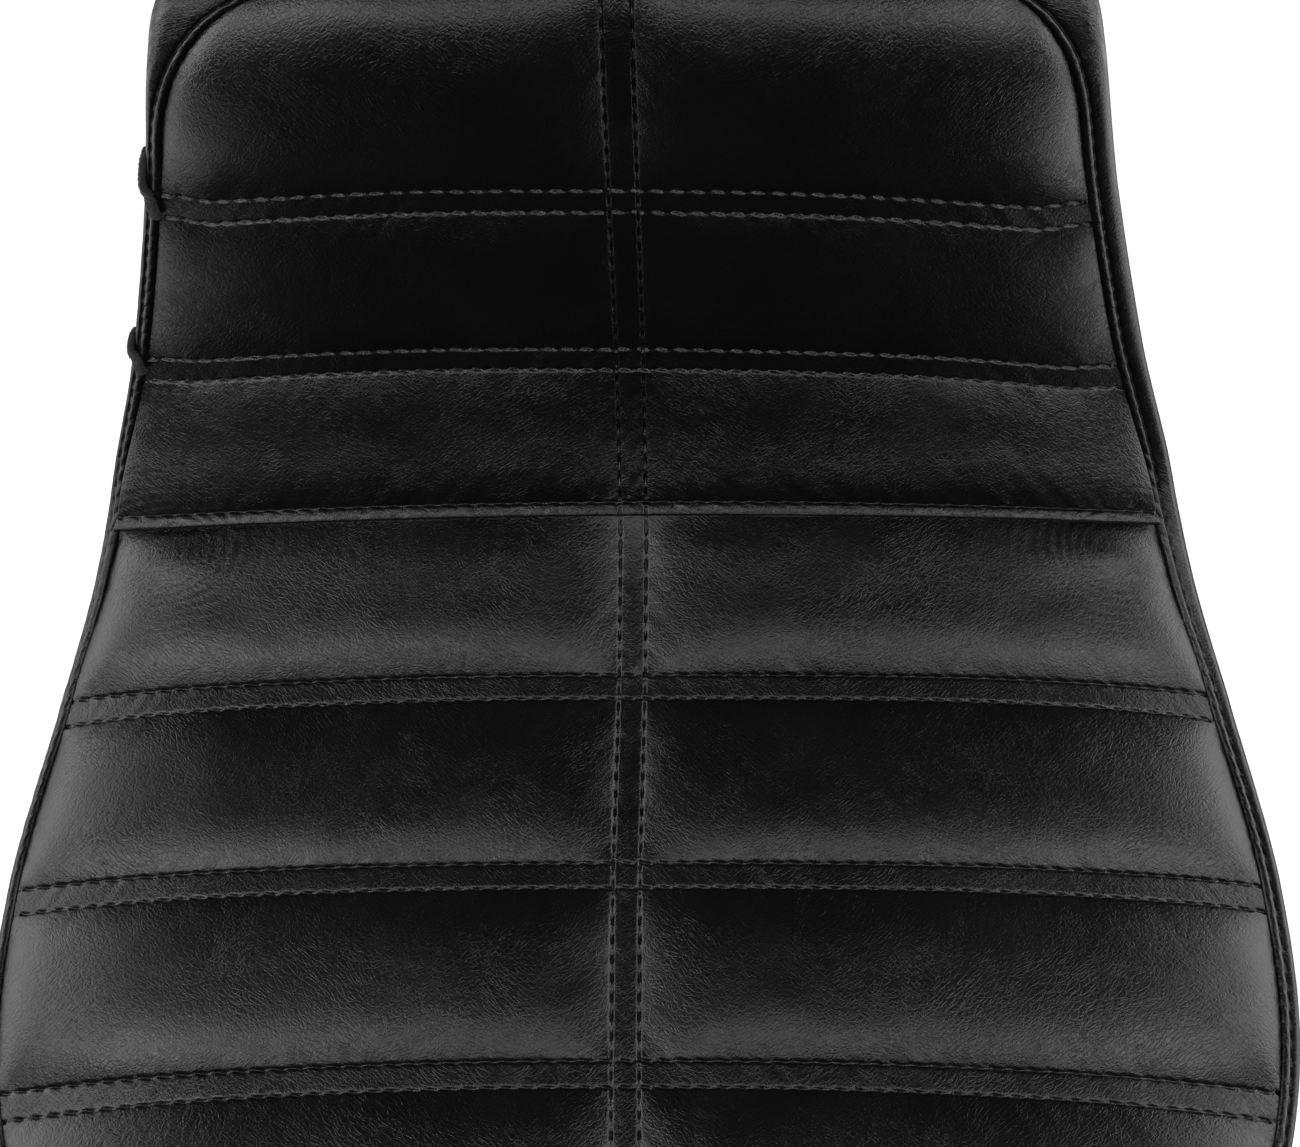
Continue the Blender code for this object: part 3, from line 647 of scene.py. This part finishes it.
def side_controls(sign):
    """A side's section at each row, as if on the right: eight points from seam to flange."""
    lengths, on_pillion = side_lengths()
    across = np.where(on_pillion, seam_half(lengths, True, sign), seam_half(lengths, False, sign))
    shares = np.linspace(0.0, 1.0, END_ROWS + 1)[:-1]
    lengths = np.concatenate([np.zeros(END_ROWS), lengths, np.full(END_ROWS, TAIL_S)])
    across = np.concatenate([shares * across[0], across, shares[::-1] * across[-1]])
    at_end = np.ones(len(lengths), bool)
    at_end[END_ROWS:-END_ROWS] = False
    half = shoulder_half(lengths)
    plain = np.stack([np.where(at_end, across, half), column(0, lengths)], axis=1)
    heading = np.gradient(plain, axis=0)
    heading[[0, -1]] = ((1.0, 0.0), (-1.0, 0.0))
    heading = unit(heading)
    out = np.stack([heading[:, 1], -heading[:, 0], np.zeros(len(heading))], axis=1)
    square = np.minimum(ease(lengths / NOSE_CORNER[0]), ease((TAIL_S - lengths) / TAIL_CORNER[0]))
    square = np.where(at_end, 0.0, square)[:, None]
    out = unit(out * (1 - square) + square * np.array((1.0, 0.0, 0.0)))
    start = skin(lengths, across)[0]
    rounded = start + out * RIDGE - np.array((0.0, 0.0, RIDGE * 0.7))
    shoulder = rounded * (1 - square) + skin(lengths, half)[0] * square
    middle = (start + shoulder) / 2 + np.array((0.0, 0.0, RIDGE * 0.1))
    middle = middle * (1 - square) + skin(lengths, (across + half) / 2)[0] * square
    inset = END_INSET * (1 - square) + (half - base_half(lengths))[:, None] * square
    bulge = END_BULGE * (1 - square) + SIDE_BULGE * square
    foot = shoulder - out * inset
    foot[:, 2] = base_height(foot[:, 1])
    rows = [start, middle, shoulder]
    for share in (0.14, 0.5, 0.85):
        rows.append(shoulder + (foot - shoulder) * share + out * bulge * 4 * share * (1 - share))
    turned_in = foot - out * TURN_IN
    turned_in[:, 2] = base_height(turned_in[:, 1])
    rows += [foot, turned_in]
    return np.stack(rows, axis=1)


def rounded_line(points, passes=3):
    """A polyline with its corners cut, a few times over; its ends stay."""
    for _ in range(passes):
        near = points[:-1] * 0.75 + points[1:] * 0.25
        far = points[:-1] * 0.25 + points[1:] * 0.75
        middle = np.stack([near, far], axis=1).reshape(-1, 3)
        points = np.concatenate([points[:1], middle[1:-1], points[-1:]])
    return points


def side_grid(sign):
    """A side cover's fine grid, as if on the right: points, normals, distances from the seam."""
    controls = side_controls(sign)
    near = np.arange(0.0, 2 * TOPSTITCH + 0.0002, FINE_STEP)
    beyond = np.linspace(0.0, 1.0, 45)[1:] ** 1.15
    rows, distances = [], []
    for section in controls:
        line = rounded_line(section)
        travel = travelled(line)
        wanted = np.concatenate([near, near[-1] + (travel[-1] - near[-1]) * beyond])
        rows.append(points_at(wanted, travel, line))
        distances.append(wanted)
    grid = np.array(rows)
    normals = unit(np.cross(np.gradient(grid, axis=1), np.gradient(grid, axis=0)))
    longer = np.concatenate([normals[:1], normals, normals[-1:]])
    normals = (longer[:-2] + longer[1:-1] + longer[2:]) / 3
    normals[[0, -1], :, 0] = 0.0
    return grid, unit(normals), np.array(distances)


def side_travel(grid, distances):
    """Length along the topstitch at each row of the side cover."""
    index = int(np.argmin(np.abs(distances[len(distances) // 2] - TOPSTITCH)))
    return travelled(grid[:, index]), index


def side_relief(distances, travel):
    """The folded seam allowance, its gathers, and the line sewn beside it."""
    travel = travel[:, None] * np.ones_like(distances)
    share = np.clip(distances / TOPSTITCH, 0.0, 1.0)
    ridge = RIDGE_RISE * np.sin(math.pi * share) ** 0.7
    slanted = (travel + 0.9 * distances) / STITCH
    strength = 0.75 + 0.35 * noise(travel / 0.013, distances / 0.02, 31)
    fold = -RIDGE_FOLD * strength * (1 - np.abs(np.sin(math.pi * slanted))) ** 2
    fold += RIDGE_WAVE * noise(slanted * 2.3, distances / 0.004, 32)
    fold *= np.sin(math.pi * share)
    beyond = np.maximum(distances - TOPSTITCH, 0.0)
    swell = SIDE_SWELL * (1 - np.exp(-beyond / 0.0016)) * np.exp(-beyond / 0.05)
    height = ridge + fold + swell
    height += needle_line(distances - TOPSTITCH, travel) * 0.7
    ripples = gathers(distances - TOPSTITCH, travel, 0.6, 33) * np.exp(-beyond / 0.003)
    height += np.where(distances > TOPSTITCH, ripples, 0.0)
    height += 0.0004 * noise(travel / 0.045, distances / 0.03, 35) * np.minimum(beyond / 0.01, 1.0)
    far = np.clip((distances[:, -1:] - distances) / 0.02, 0.0, 1.0)
    return np.where(distances < 0.0002, -0.0002, height) * far


def make_side(name, sign, grid, normals, distances, travel, material):
    face = grid + normals * side_relief(distances, travel)[..., None]
    back = grid - normals * COVER
    rows, columns = (np.linspace(0, last, last // INNER_STEP * INNER_STEP + 1).round().astype(int)
                     for last in (len(grid) - 1, grid.shape[1] - 1))
    hide = np.stack([distances + 0.3, travel[:, None] * np.ones_like(distances),
                     np.zeros_like(distances)], axis=-1)
    face, back, hide = (array[np.ix_(rows, columns)] for array in (face, back, hide))
    if sign < 0:
        mirror = np.array((-1.0, 1.0, 1.0))
        face, back, hide = (array[::-1] * mirror for array in (face, back, hide))
    piece = closed_sheet(name + "_side_skin", face, back, hide, material)
    finish_piece(piece, "vinyl", name + "_side_cover")


def make_side_threads(name, sign, grid, normals, travel, index, material):
    """The topstitch along the seam, and the seam's own stitches down in the groove."""
    share, depth, _ = stitch_samples()
    holes = np.arange(1, math.floor(travel[-1] / STITCH) - 1) * STITCH
    wanted = holes[:, None] + share[None, :] * STITCH
    mirror = np.array((sign, 1.0, 1.0))
    facing = points_at(wanted, travel, normals[:, index])
    line = points_at(wanted, travel, grid[:, index]) + facing * (depth + 0.0006)[None, :, None]
    piece = tubes(name + "_topstitches", line * mirror, facing * mirror, THREAD * 0.8, material)
    finish_piece(piece, "webbing")
    shares = np.linspace(-1.0, 1.0, 4)
    spots = holes[:, None] + 0.0008 * shares[None, :]
    base, facing = (points_at(spots, travel, table[:, 0]) for table in (grid, normals))
    inward = points_at(spots, travel, grid[:, 2]) - base
    base = base + facing * 0.0001 + inward * shares[None, :, None] * 0.9
    piece = tubes(name + "_seam_stitches", base * mirror, facing * mirror, THREAD * 0.6, material,
                  sides=5)
    finish_piece(piece, "webbing")


# ---- woven loops ---------------------------------
def loop_path(length, reach, grid, normals, distances, relief):
    """Points on the right side cover, and its normals: out of the seam and over the ridge."""
    lengths, on_pillion = side_lengths()
    before = lengths[~on_pillion]
    shares = np.linspace(0.0, 1.0, LOOP_STEPS)
    rows = END_ROWS + np.interp(length + reach * shares, before, np.arange(len(before)))
    away = np.interp(shares, LOOP_SHARES, LOOP_AWAY)
    lift = np.interp(shares, LOOP_SHARES, LOOP_LIFT)
    places, facing = [], []
    for row, distance, height in zip(rows.round().astype(int), away, lift):
        normal = points_at(distance, distances[row], normals[row])
        over = np.interp(distance, distances[row], relief[row]) + height
        places.append(points_at(distance, distances[row], grid[row]) + normal * over)
        facing.append(normal)
    return smoothed(np.array(places)), smoothed(np.array(facing))


def smoothed(points, passes=3):
    """Points along a line, each moved towards its neighbours; the ends stay."""
    for _ in range(passes):
        points[1:-1] = (points[:-2] + 2 * points[1:-1] + points[2:]) / 4
    return points


def make_loop(name, length, reach, side, material):
    """A small loop of woven tape caught in the left side seam."""
    centres, facing = loop_path(length, reach, *side)
    ahead = unit(np.gradient(centres, axis=0))
    wide = unit(np.cross(ahead, facing))
    thick = np.cross(wide, ahead)
    travel = np.linspace(0.0, reach, LOOP_STEPS)
    rib = 1 + 0.10 * np.cos(2 * math.pi * travel / TAPE_RIB)
    rings = []
    for index in range(LOOP_SIDES):
        angle = 2 * math.pi * index / LOOP_SIDES
        flat = TAPE_WIDE / 2 * math.copysign(abs(math.cos(angle)) ** 0.7, math.cos(angle))
        deep = TAPE_THICK / 2 * math.copysign(abs(math.sin(angle)) ** 0.8, math.sin(angle))
        rings.append(centres + wide * flat + thick * deep * rib[:, None])
    points = np.stack(rings, axis=1).reshape(-1, 3) * np.array((-1.0, 1.0, 1.0))
    faces = ring_faces(0, LOOP_STEPS, LOOP_SIDES, -1)
    finish_piece(make_mesh(name + "_side_loop", points, faces, material), "webbing",
                 "side_loop_" + name)


# ---- materials -----------------------------------
class Shader:
    """Builds one material's nodes. settings are inputs of its surface."""

    def __init__(self, name, settings):
        self.material = bpy.data.materials.new(name)
        self.material.use_nodes = True
        self.tree = self.material.node_tree
        self.surface = self.tree.nodes["Principled BSDF"]
        self.feed(self.surface, settings)
        self.place = self.node("TexCoord", {}).outputs["Object"]

    def feed(self, made, inputs):
        """Sets a node's inputs, each to a value or to another node's output."""
        for key, value in inputs.items():
            if isinstance(value, bpy.types.NodeSocket):
                self.tree.links.new(value, made.inputs[key])
            else:
                made.inputs[key].default_value = value

    def node(self, kind, inputs, **settings):
        made = self.tree.nodes.new("ShaderNode" + kind)
        for key, value in settings.items():
            setattr(made, key, value)
        self.feed(made, inputs)
        return made

    def stretched(self, place, angle, length):
        """Coordinates in which a pattern is drawn out along an angle."""
        turned = (0.0, 0.0, math.radians(angle))
        inputs = {"Vector": place, "Rotation": turned, "Scale": (length, 1.0, 1.0)}
        return self.node("Mapping", inputs, vector_type="TEXTURE").outputs["Vector"]

    def warped(self, place, amount, scale):
        """Coordinates pushed about by noise."""
        push = self.node("TexNoise", {"Vector": place, "Scale": scale, "Detail": 2.0})
        inputs = {"Fac": amount, "Color1": place, "Color2": push.outputs["Color"]}
        return self.node("MixRGB", inputs, blend_type="LINEAR_LIGHT").outputs["Color"]

    def noise(self, scale, detail=3.0, distortion=0.0, place=None):
        inputs = {"Vector": place or self.place, "Scale": scale, "Detail": detail,
                  "Distortion": distortion, "Roughness": 0.55}
        return self.node("TexNoise", inputs).outputs["Fac"]

    def cells(self, scale, feature="DISTANCE_TO_EDGE", place=None, randomness=1.0):
        inputs = {"Vector": place or self.place, "Scale": scale, "Randomness": randomness}
        return self.node("TexVoronoi", inputs, feature=feature).outputs["Distance"]

    def ramp(self, value, low, high, to_low=0.0, to_high=1.0):
        inputs = {"Value": value, "From Min": low, "From Max": high, "To Min": to_low,
                  "To Max": to_high}
        return self.node("MapRange", inputs, interpolation_type="SMOOTHSTEP").outputs["Result"]

    def maths(self, operation, first, second):
        return self.node("Math", {0: first, 1: second}, operation=operation).outputs["Value"]

    def lerp(self, share, first, second):
        inputs = {"Factor": share, "A": first, "B": second}
        return self.node("Mix", inputs, data_type="FLOAT").outputs["Result"]

    def blend(self, share, *colours):
        """Two colours mixed, each given as red, green and blue or as a node's output."""
        first, second = ((*mixed, 1.0) if isinstance(mixed, tuple) else mixed for mixed in colours)
        return self.node("Mix", {"Factor": share, 6: first, 7: second}, data_type="RGBA").outputs[2]

    def bump(self, height, depth, strength):
        inputs = {"Height": height, "Distance": depth, "Strength": strength}
        return self.node("Bump", inputs).outputs["Normal"]

    def finish(self, colour, roughness, normal):
        self.feed(self.surface, {"Base Color": colour, "Roughness": roughness, "Normal": normal})
        return self.material


def vinyl_material():
    """Black leather-grain vinyl: drawn-out pebbles between fine creases that lean both ways."""
    shader = Shader("vinyl_leather_grain", {"Specular IOR Level": 0.45})
    hide = shader.node("Attribute", {}, attribute_name="hide").outputs["Vector"]
    wavy = shader.warped(hide, 0.0020, 110.0)
    drawn = [shader.stretched(wavy, angle, 3.6) for angle in (40.0, -40.0)]
    leaning = [shader.ramp(shader.cells(1050.0, place=place), 0.0, 0.16) for place in drawn]
    across = shader.node("SeparateXYZ", {"Vector": hide}).outputs["X"]
    right = shader.ramp(across, -0.004, 0.003)
    aside = shader.maths("ABSOLUTE", across, 0.0)
    near_middle = shader.ramp(aside, 0.010, 0.032, 1.0, 0.0)
    patches = shader.ramp(shader.noise(24.0, 2.0, 0.5, hide), 0.42, 0.58)
    side = shader.lerp(near_middle, patches, right)
    strong = shader.lerp(side, leaning[0], leaning[1])
    weak = shader.ramp(shader.lerp(side, leaning[1], leaning[0]), 0.0, 1.0, 0.45, 1.0)
    creases = shader.maths("MULTIPLY", strong, weak)
    pebbles = shader.ramp(shader.cells(1250.0, place=wavy), 0.0, 0.30)
    fine = shader.noise(2600.0, 2.0, 0.0, hide)
    depth = shader.ramp(shader.noise(45.0, 3.0, 0.4, hide), 0.30, 0.68, 0.65, 1.0)
    grain = shader.maths("MULTIPLY", creases, shader.maths("MULTIPLY", depth, 0.80))
    grain = shader.maths("ADD", grain, shader.maths("MULTIPLY", pebbles, 0.26))
    grain = shader.maths("ADD", grain, shader.maths("MULTIPLY", fine, 0.10))
    normal = shader.bump(grain, 0.000078, 0.8)
    worn = shader.ramp(shader.noise(38.0, 4.0, 0.4, hide), 0.40, 0.72)
    colour = shader.blend(worn, (0.0016, 0.0016, 0.0017), (0.0027, 0.0026, 0.0026))
    # Painted shade: the grain's creases are coloured darker, as if shade falls in them.
    colour = shader.blend(shader.ramp(grain, 0.15, 0.70), (0.0009, 0.0009, 0.0010), colour)
    roughness = shader.lerp(worn, shader.ramp(grain, 0.1, 0.9, 0.34, 0.28),
                            shader.ramp(grain, 0.1, 0.9, 0.37, 0.31))
    return shader.finish(colour, roughness, normal)


def thread_material():
    """Black bonded thread with a slight shine on its plies."""
    shader = Shader("bonded_thread", {"Specular IOR Level": 0.32})
    plies = shader.noise(3800.0, 2.0, 0.6)
    normal = shader.bump(plies, 0.00008, 0.7)
    colour = shader.blend(shader.ramp(plies, 0.35, 0.7), (0.002,) * 3, (0.010,) * 3)
    roughness = shader.ramp(plies, 0.3, 0.7, 0.58, 0.38)
    return shader.finish(colour, roughness, normal)


def webbing_material():
    """Black woven tape: a fine basket of yarns, a little fuzzy."""
    shader = Shader("woven_tape", {"Sheen Weight": 0.04})
    yarns = shader.cells(2600.0, "F1", randomness=0.35)
    normal = shader.bump(yarns, 0.00018, 0.9)
    fuzz = shader.noise(1500.0, 3.0, 0.5)
    colour = shader.blend(shader.ramp(fuzz, 0.35, 0.68), (0.003,) * 3, (0.016, 0.016, 0.015))
    roughness = shader.ramp(fuzz, 0.3, 0.7, 0.92, 0.74)
    return shader.finish(colour, roughness, normal)


def plastic_material():
    """Black moulded polypropylene: spark-eroded texture, scuffed lighter where it rubs."""
    shader = Shader("moulded_pan_plastic", {})
    spark = shader.noise(1400.0, 3.0, 0.2)
    scuffs = shader.ramp(shader.noise(55.0, 6.0, 1.8), 0.56, 0.72)
    normal = shader.bump(spark, 0.00010, 0.6)
    colour = shader.blend(scuffs, (0.018, 0.018, 0.019), (0.060,) * 3)
    roughness = shader.ramp(spark, 0.3, 0.7, 0.50, 0.68)
    return shader.finish(colour, roughness, normal)


def steel_material():
    """Zinc-plated steel, faintly spangled, dulled in patches."""
    shader = Shader("zinc_plated_steel", {"Metallic": 1.0})
    spangle = shader.cells(210.0, "F1")
    haze = shader.noise(90.0, 5.0, 1.2)
    normal = shader.bump(shader.noise(1800.0, 2.0), 0.00004, 0.5)
    colour = shader.blend(shader.ramp(haze, 0.38, 0.66), (0.42, 0.42, 0.43), (0.66, 0.66, 0.68))
    roughness = shader.maths("ADD", shader.ramp(haze, 0.3, 0.7, 0.48, 0.26),
                             shader.maths("MULTIPLY", spangle, 0.10))
    return shader.finish(colour, roughness, normal)


def rubber_material():
    """Black rubber, slightly chalky."""
    shader = Shader("bumper_rubber", {})
    bloom = shader.noise(140.0, 5.0, 0.8)
    normal = shader.bump(shader.noise(900.0, 3.0), 0.00012, 0.6)
    colour = shader.blend(shader.ramp(bloom, 0.40, 0.72), (0.012,) * 3, (0.040, 0.039, 0.038))
    roughness = shader.ramp(bloom, 0.3, 0.7, 0.76, 0.92)
    return shader.finish(colour, roughness, normal)


def foam_material(name, dark, light):
    """Open-cell foam."""
    shader = Shader(name, {})
    pores = shader.cells(1300.0, "F1")
    mottle = shader.noise(60.0, 4.0)
    normal = shader.bump(pores, 0.0004, 0.9)
    colour = shader.blend(shader.ramp(mottle, 0.3, 0.7), dark, light)
    roughness = shader.ramp(pores, 0.0, 0.6, 0.98, 0.88)
    return shader.finish(colour, roughness, normal)


def dress_nodes(materials):
    """Gives every kept CAD node the material of its kind."""
    kinds = (("seat_pan", "plastic"), ("tongue", "steel"), ("tab", "steel"), ("rivet", "steel"),
             ("bumper", "rubber"), ("pleat_foam", "quilt"), ("foam", "moulded"))
    for name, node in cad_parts.items():
        kind = next((kind for word, kind in kinds if word in name), None)
        if kind is None:
            continue
        if not node.material_slots:
            node.data.materials.append(None)
        for slot in node.material_slots:
            slot.link = "OBJECT"
            slot.material = materials[kind]


# ---- stage ---------------------------------------
FLOOR_Z = -0.0003           # just below the bumpers' feet
FLOOR_REACH = 6.0
FLOOR_GLOW = 0.62           # the light it gives of itself
CAMERA_FROM_HEM = (0.0180, -0.1809, 0.5232)
CAMERA_DOWN = math.radians(72.33)
CAMERA_YAW = math.radians(-1.54)
CAMERA_ROLL = math.radians(-0.40)
CAMERA_LENS = 58.2


def make_floor():
    """A large pale floor."""
    shader = Shader("studio_floor", {"Emission Strength": FLOOR_GLOW})
    cloud = shader.noise(3.0, 3.0)
    colour = shader.blend(shader.ramp(cloud, 0.3, 0.7), (0.86,) * 3, (0.90,) * 3)
    normal = shader.bump(shader.noise(400.0, 2.0), 0.0001, 0.3)
    shader.feed(shader.surface, {"Emission Color": colour})
    material = shader.finish(colour, shader.ramp(cloud, 0.3, 0.7, 0.66, 0.74), normal)
    corners = np.array(((-1.0, -1.0), (1.0, -1.0), (1.0, 1.0), (-1.0, 1.0))) * FLOOR_REACH
    corners = np.column_stack([corners, np.full(4, FLOOR_Z)])
    floor = make_mesh("studio_floor", corners, [[0, 1, 2, 3]], material)
    floor.visible_glossy = False


def area_light(name, place, target, size, power, size_y=None):
    light = bpy.data.lights.new(name, "AREA")
    light.shape = "RECTANGLE"
    light.size = size
    light.size_y = size_y or size
    light.energy = power
    lamp = bpy.data.objects.new(name, light)
    lamp.location = place
    lamp.rotation_euler = (Vector(target) - Vector(place)).to_track_quat("-Z", "Y").to_euler()
    bpy.context.scene.collection.objects.link(lamp)
    return lamp


def make_lights():
    """Three large soft lights round the front, weak ones at the sides, and a dark room."""
    seat = (0.0, -0.05, 0.08)
    area_light("top_softbox", (0.0, -0.68, 1.46), seat, 1.0, 4.8, 0.70)
    area_light("left_softbox", (-0.95, -0.50, 1.30), seat, 0.9, 10.5, 0.75)
    area_light("right_softbox", (0.95, -0.50, 1.30), seat, 0.9, 8.8, 0.75)
    for side in (-1, 1):
        area_light("side_strip", (side * 1.4, 0.35, 0.80), seat, 1.2, 7.0, 0.7)
        area_light("side_wall", (side * 1.3, 0.30, 0.25), seat, 1.4, 8.0, 0.5)
        card = area_light("floor_card", (side * 0.50, -0.05, 0.004), (side * 0.50, -0.05, 1.0),
                          0.45, 2.1 if side > 0 else 1.4, 0.60)
        card.visible_camera = False
    world = bpy.data.worlds.new("dim_studio")
    world.use_nodes = True
    backdrop = world.node_tree.nodes["Background"]
    backdrop.inputs["Color"].default_value = (1.0, 1.0, 1.0, 1.0)
    backdrop.inputs["Strength"].default_value = 0.02
    bpy.context.scene.world = world
    bpy.context.scene.view_settings.view_transform = "Standard"


def make_camera():
    """A hand-held camera above the rider's knees, looking down at the crease."""
    forward = Vector((0.0, math.cos(CAMERA_DOWN), -math.sin(CAMERA_DOWN)))
    right = Vector((1.0, 0.0, 0.0))
    ahead = forward * math.cos(CAMERA_YAW) + right * math.sin(CAMERA_YAW)
    level = right * math.cos(CAMERA_YAW) - forward * math.sin(CAMERA_YAW)
    above = level.cross(ahead)
    across = level * math.cos(CAMERA_ROLL) + above * math.sin(CAMERA_ROLL)
    upward = above * math.cos(CAMERA_ROLL) - level * math.sin(CAMERA_ROLL)
    data = bpy.data.cameras.new("camera")
    data.lens = CAMERA_LENS
    data.sensor_width = 36.0
    data.clip_start = 0.01
    camera = bpy.data.objects.new("camera", data)
    camera.location = np.array((0.0, HEM_Y, HEM_Z)) + np.array(CAMERA_FROM_HEM)
    matrix = [[across[row], upward[row], -ahead[row]] for row in range(3)]
    camera.rotation_euler = Matrix(matrix).to_euler()
    bpy.context.scene.collection.objects.link(camera)
    bpy.context.scene.camera = camera


# ---- the whole seat ------------------------------
def main():
    materials = {
        "vinyl": vinyl_material(),
        "thread": thread_material(),
        "webbing": webbing_material(),
        "plastic": plastic_material(),
        "steel": steel_material(),
        "rubber": rubber_material(),
        "quilt": foam_material("quilting_foam_open_cell", (0.30, 0.30, 0.31), (0.40, 0.40, 0.41)),
        "moulded": foam_material("moulded_foam_open_cell", (0.52, 0.46, 0.32), (0.66, 0.60, 0.44)),
    }
    dress_nodes(materials)
    for name in PANELS:
        make_panel(name, materials["vinyl"])
        make_panel_threads(name, materials["thread"])
    for name, sign in (("right", 1), ("left", -1)):
        grid, normals, distances = side_grid(sign)
        travel, index = side_travel(grid, distances)
        make_side(name, sign, grid, normals, distances, travel, materials["vinyl"])
        make_side_threads(name, sign, grid, normals, travel, index, materials["thread"])
    side = (grid, normals, distances, side_relief(distances, travel))
    for name, after_hem, reach in LOOPS:
        make_loop(name, HEM_S + after_hem, reach, side, materials["webbing"])
    make_floor()
    make_lights()
    make_camera()


main()
